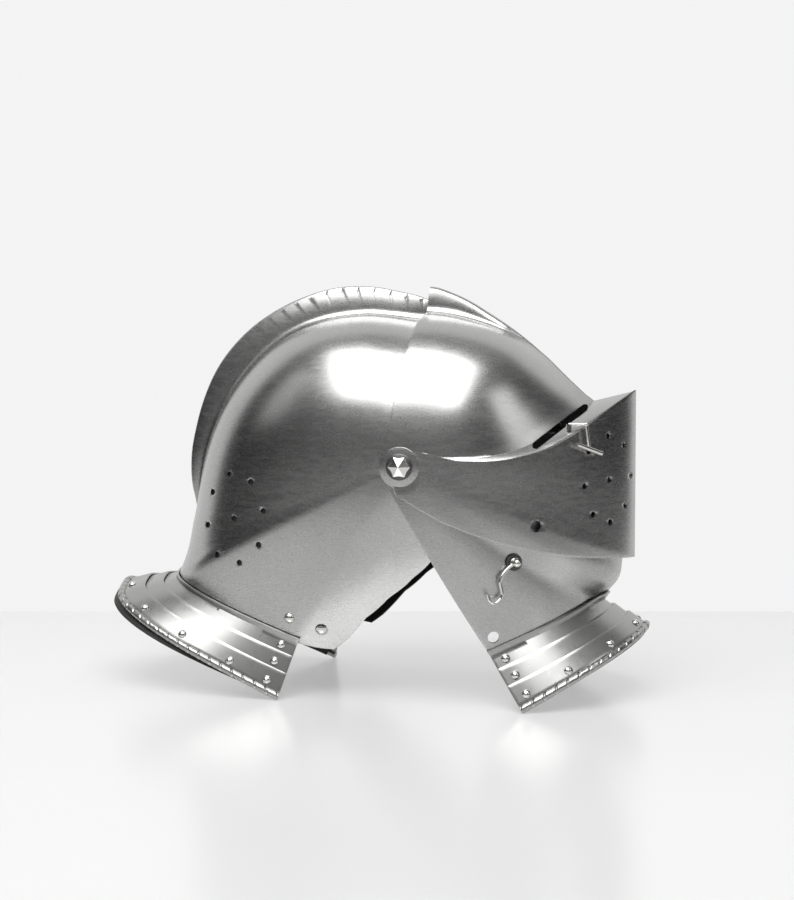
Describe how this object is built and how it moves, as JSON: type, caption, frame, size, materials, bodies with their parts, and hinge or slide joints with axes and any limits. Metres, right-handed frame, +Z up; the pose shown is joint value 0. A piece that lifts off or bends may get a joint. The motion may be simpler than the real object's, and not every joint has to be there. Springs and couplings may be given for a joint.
{
  "type": "close helmet",
  "caption": "Steel close helmet with a tall comb; visor, pointed ventail and bevor swing about temple pivots over a laminated neck collar.",
  "frame": {"origin": "middle of the bounding box in length and width, at the lowest points of the two collars, which stand on z = 0", "axes": "+X to the front of the helmet, +Y to the wearer's left, +Z up along the wearer's head"},
  "size_m": [0.4189, 0.2094, 0.3053],
  "materials": {
    "plate_steel": "satin, finely brushed",
    "polished_steel": "polished bright steel",
    "dark_iron": "dull dark iron",
    "leather": "black leather, matt"
  },
  "bodies": {
    "skull": {"skull": "plate_steel", "skull_lining": "leather", "nape_lame_upper": "plate_steel", "nape_lame_middle": "plate_steel", "nape_lame_lower": "plate_steel", "nape_rim_rivets": "polished_steel", "nape_end_rivets": "polished_steel", "nape_lining": "leather", "nape_straps": "leather", "pivot_bolt_right": "polished_steel", "pivot_bolt_left": "polished_steel", "pivot_nut_right": "dark_iron", "pivot_nut_left": "dark_iron", "catch_rivet": "polished_steel", "lining_rivets": "polished_steel"},
    "catch": {"catch_spring": "dark_iron", "catch_stud": "polished_steel"},
    "bevor": {"bevor": "plate_steel", "chin_lame_upper": "plate_steel", "chin_lame_middle": "plate_steel", "chin_lame_lower": "plate_steel", "chin_rim_rivets": "polished_steel", "chin_end_rivets": "polished_steel", "chin_lining": "leather", "chin_straps": "leather", "hook_washer": "dark_iron", "hook_staple": "polished_steel"},
    "ventail": {"ventail": "plate_steel"},
    "visor": {"visor": "plate_steel", "lifting_peg": "polished_steel"},
    "hook": {"hook": "polished_steel"}
  },
  "joints": [
    {"name": "bevor_pivot", "type": "hinge", "parent": "skull", "child": "bevor", "pos_m": [0.03845, 0, 0.17281], "axis": [0, 1, 0], "range_deg": [0, 55]},
    {"name": "ventail_pivot", "type": "hinge", "parent": "bevor", "child": "ventail", "pos_m": [0.03845, 0, 0.17281], "axis": [0, 1, 0], "range_deg": [-4, 0]},
    {"name": "visor_pivot", "type": "hinge", "parent": "ventail", "child": "visor", "pos_m": [0.03845, 0, 0.17281], "axis": [0, 1, 0], "range_deg": [-5, 0]},
    {"name": "catch_press", "type": "hinge", "parent": "skull", "child": "catch", "pos_m": [-0.04941, -0.07427, 0.05872], "axis": [0.2977, -0.3369, 0.8932], "range_deg": [0, 5.2], "stiffness_Nm_per_rad": 2},
    {"name": "hook_swivel", "type": "hinge", "parent": "bevor", "child": "hook", "pos_m": [0.11694, -0.07569, 0.10458], "axis": [0.5168, -0.8558, 0.0209], "range_deg": [-20, 20]}
  ]
}
